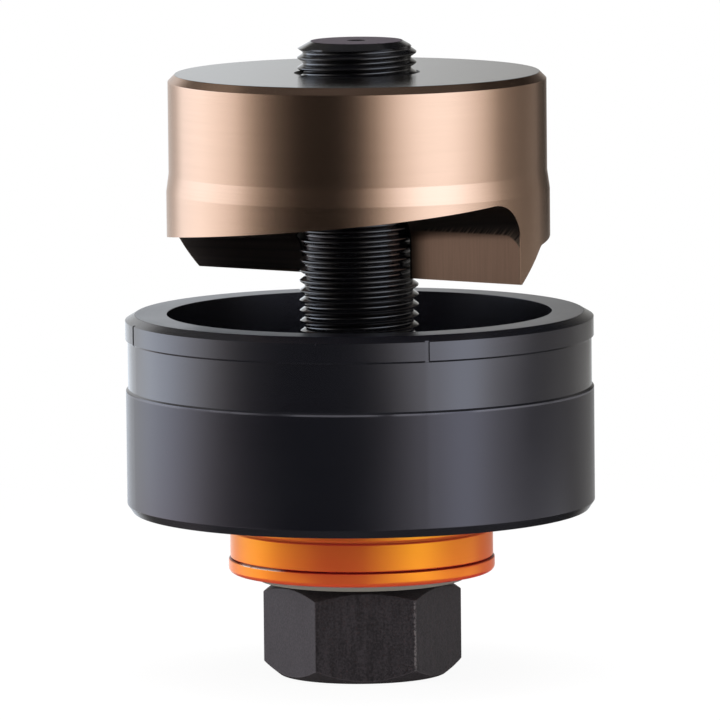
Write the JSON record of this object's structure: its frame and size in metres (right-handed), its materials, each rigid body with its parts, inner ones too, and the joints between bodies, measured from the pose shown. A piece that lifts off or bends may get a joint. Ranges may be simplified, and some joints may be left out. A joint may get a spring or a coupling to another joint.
{
  "type": "knockout punch",
  "caption": "Knockout punch for round holes in sheet metal: cup die, split-point punch, draw screw with hexagon head and ball thrust bearing in a housing.",
  "frame": {"origin": "centre of the bottom face of the hexagon head, on the screw's axis", "axes": "+Z along the screw from its head to its end, -Y towards the picture's viewer, +X to the viewer's right"},
  "size_m": [0.0734, 0.0734, 0.0996],
  "materials": {
    "punch_coating": "satin bronze-coloured tool steel with fine turning marks",
    "black_die": "satin black-oxide steel",
    "black_screw": "oiled black steel screw thread and rough black hexagon head",
    "orange_anodised": "satin orange anodised aluminium",
    "race_steel": "ground bearing steel",
    "ball_steel": "polished bearing balls",
    "cage_brass": "plain brass ball cage"
  },
  "bodies": {
    "draw_screw": {"draw_screw": "black_screw", "shaft_race": "race_steel"},
    "bearing_housing": {"bearing_housing": "orange_anodised", "housing_cover": "orange_anodised", "housing_race": "race_steel"},
    "ball_cage": {"ball_cage": "cage_brass"},
    "die": {"die": "black_die"},
    "punch": {"punch": "punch_coating"},
    "ball_01": {"ball_01": "ball_steel"},
    "ball_02": {"ball_02": "ball_steel"},
    "ball_03": {"ball_03": "ball_steel"},
    "ball_04": {"ball_04": "ball_steel"},
    "ball_05": {"ball_05": "ball_steel"},
    "ball_06": {"ball_06": "ball_steel"},
    "ball_07": {"ball_07": "ball_steel"},
    "ball_08": {"ball_08": "ball_steel"},
    "ball_09": {"ball_09": "ball_steel"},
    "ball_10": {"ball_10": "ball_steel"},
    "ball_11": {"ball_11": "ball_steel"},
    "ball_12": {"ball_12": "ball_steel"}
  },
  "joints": [
    {"name": "housing_turn", "type": "hinge", "parent": "draw_screw", "child": "bearing_housing", "pos_m": [0, 0, 0.02], "axis": [0, 0, 1], "range_deg": [-5040, 8280]},
    {"name": "die_lift", "type": "slide", "parent": "bearing_housing", "child": "die", "axis": [0, 0, 1], "range_m": [0, 0.005]},
    {"name": "punch_travel", "type": "slide", "parent": "bearing_housing", "child": "punch", "axis": [0, 0, 1], "range_m": [-0.02223, 0.03652]},
    {"name": "cage_turn", "type": "hinge", "parent": "draw_screw", "child": "ball_cage", "pos_m": [0, 0, 0.02], "axis": [0, 0, 1], "range_deg": [-2520, 4140]},
    {"name": "ball_01_spin", "type": "hinge", "parent": "ball_cage", "child": "ball_01", "pos_m": [0.01354, 0, 0.02], "axis": [1, 0, 0], "range_deg": [-20182, 12287]},
    {"name": "ball_02_spin", "type": "hinge", "parent": "ball_cage", "child": "ball_02", "pos_m": [0.01172, 0.00677, 0.02], "axis": [0.866, 0.5, 0], "range_deg": [-20182, 12287]},
    {"name": "ball_03_spin", "type": "hinge", "parent": "ball_cage", "child": "ball_03", "pos_m": [0.00677, 0.01172, 0.02], "axis": [0.5, 0.866, 0], "range_deg": [-20182, 12287]},
    {"name": "ball_04_spin", "type": "hinge", "parent": "ball_cage", "child": "ball_04", "pos_m": [0, 0.01354, 0.02], "axis": [0, 1, 0], "range_deg": [-20182, 12287]},
    {"name": "ball_05_spin", "type": "hinge", "parent": "ball_cage", "child": "ball_05", "pos_m": [-0.00677, 0.01172, 0.02], "axis": [-0.5, 0.866, 0], "range_deg": [-20182, 12287]},
    {"name": "ball_06_spin", "type": "hinge", "parent": "ball_cage", "child": "ball_06", "pos_m": [-0.01172, 0.00677, 0.02], "axis": [-0.866, 0.5, 0], "range_deg": [-20182, 12287]},
    {"name": "ball_07_spin", "type": "hinge", "parent": "ball_cage", "child": "ball_07", "pos_m": [-0.01354, 0, 0.02], "axis": [-1, 0, 0], "range_deg": [-20182, 12287]},
    {"name": "ball_08_spin", "type": "hinge", "parent": "ball_cage", "child": "ball_08", "pos_m": [-0.01172, -0.00677, 0.02], "axis": [-0.866, -0.5, 0], "range_deg": [-20182, 12287]},
    {"name": "ball_09_spin", "type": "hinge", "parent": "ball_cage", "child": "ball_09", "pos_m": [-0.00677, -0.01172, 0.02], "axis": [-0.5, -0.866, 0], "range_deg": [-20182, 12287]},
    {"name": "ball_10_spin", "type": "hinge", "parent": "ball_cage", "child": "ball_10", "pos_m": [0, -0.01354, 0.02], "axis": [0, -1, 0], "range_deg": [-20182, 12287]},
    {"name": "ball_11_spin", "type": "hinge", "parent": "ball_cage", "child": "ball_11", "pos_m": [0.00677, -0.01172, 0.02], "axis": [0.5, -0.866, 0], "range_deg": [-20182, 12287]},
    {"name": "ball_12_spin", "type": "hinge", "parent": "ball_cage", "child": "ball_12", "pos_m": [0.01172, -0.00677, 0.02], "axis": [0.866, -0.5, 0], "range_deg": [-20182, 12287]}
  ],
  "couplings": [
    {"joint": "punch_travel", "follows": "housing_turn", "m_per_rad": 0.00025266},
    {"joint": "cage_turn", "follows": "housing_turn", "ratio": 0.5},
    {"joint": "ball_01_spin", "follows": "housing_turn", "ratio": -2.4368},
    {"joint": "ball_02_spin", "follows": "housing_turn", "ratio": -2.4368},
    {"joint": "ball_03_spin", "follows": "housing_turn", "ratio": -2.4368},
    {"joint": "ball_04_spin", "follows": "housing_turn", "ratio": -2.4368},
    {"joint": "ball_05_spin", "follows": "housing_turn", "ratio": -2.4368},
    {"joint": "ball_06_spin", "follows": "housing_turn", "ratio": -2.4368},
    {"joint": "ball_07_spin", "follows": "housing_turn", "ratio": -2.4368},
    {"joint": "ball_08_spin", "follows": "housing_turn", "ratio": -2.4368},
    {"joint": "ball_09_spin", "follows": "housing_turn", "ratio": -2.4368},
    {"joint": "ball_10_spin", "follows": "housing_turn", "ratio": -2.4368},
    {"joint": "ball_11_spin", "follows": "housing_turn", "ratio": -2.4368},
    {"joint": "ball_12_spin", "follows": "housing_turn", "ratio": -2.4368}
  ]
}
